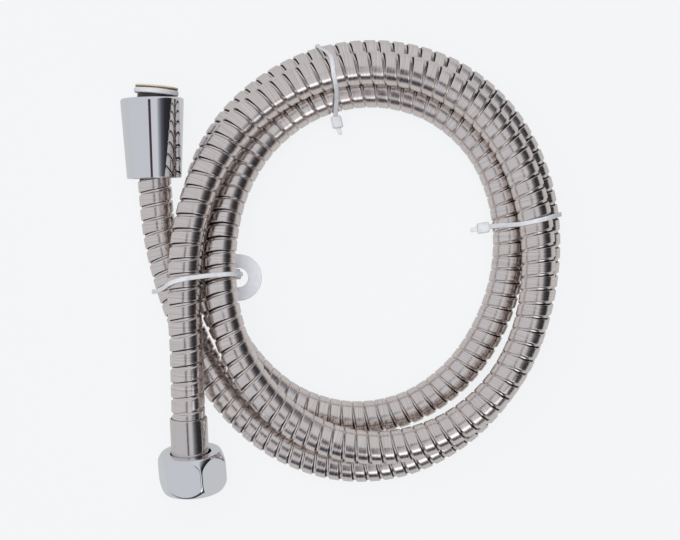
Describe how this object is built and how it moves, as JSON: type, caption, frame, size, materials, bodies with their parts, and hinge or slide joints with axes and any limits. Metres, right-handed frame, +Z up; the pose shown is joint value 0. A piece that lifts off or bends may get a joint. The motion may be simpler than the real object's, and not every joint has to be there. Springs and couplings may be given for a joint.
{
  "type": "shower hose",
  "caption": "Coiled stainless steel shower hose with a conical nut at one end and a hexagon nut at the other, held by cable ties.",
  "frame": {"origin": "under the middle of the coil's box, on the surface it lies on", "axes": "+Z up from the surface; +Y towards the conical nut, -Y towards the hexagon nut; +X away from both ends, across the coil"},
  "size_m": [0.1786, 0.1842, 0.0322],
  "materials": {
    "armour_steel": "brushed round the hose, bright",
    "chrome": "polished",
    "sleeve_steel": "satin",
    "white_plastic": "satin",
    "milky_plastic": "milky, translucent",
    "tie_plastic": "translucent white",
    "tan_fibre": "matt fibre",
    "grey_rubber": "matt"
  },
  "bodies": {
    "hose": {"steel_hose": "armour_steel", "inner_tube": "white_plastic", "cone_insert": "white_plastic", "cone_washer": "tan_fibre", "cone_ferrule": "sleeve_steel", "hex_ferrule": "sleeve_steel", "hex_insert": "white_plastic", "hex_washer": "grey_rubber", "top_tie": "tie_plastic", "right_tie": "tie_plastic", "left_tie": "tie_plastic", "spare_washer": "milky_plastic"},
    "cone_nut_body": {"cone_nut": "chrome"},
    "hex_nut_body": {"hex_nut": "chrome"}
  },
  "joints": [
    {"name": "cone_nut_spin", "type": "hinge", "parent": "hose", "child": "cone_nut_body", "pos_m": [-0.07659, 0.06804, 0.01275], "axis": [-0.026, 0.9983, 0.052], "continuous": true},
    {"name": "hex_nut_spin", "type": "hinge", "parent": "hose", "child": "hex_nut_body", "pos_m": [-0.05974, -0.08938, 0.01237], "axis": [0.058, -0.975, -0.2145], "continuous": true}
  ]
}
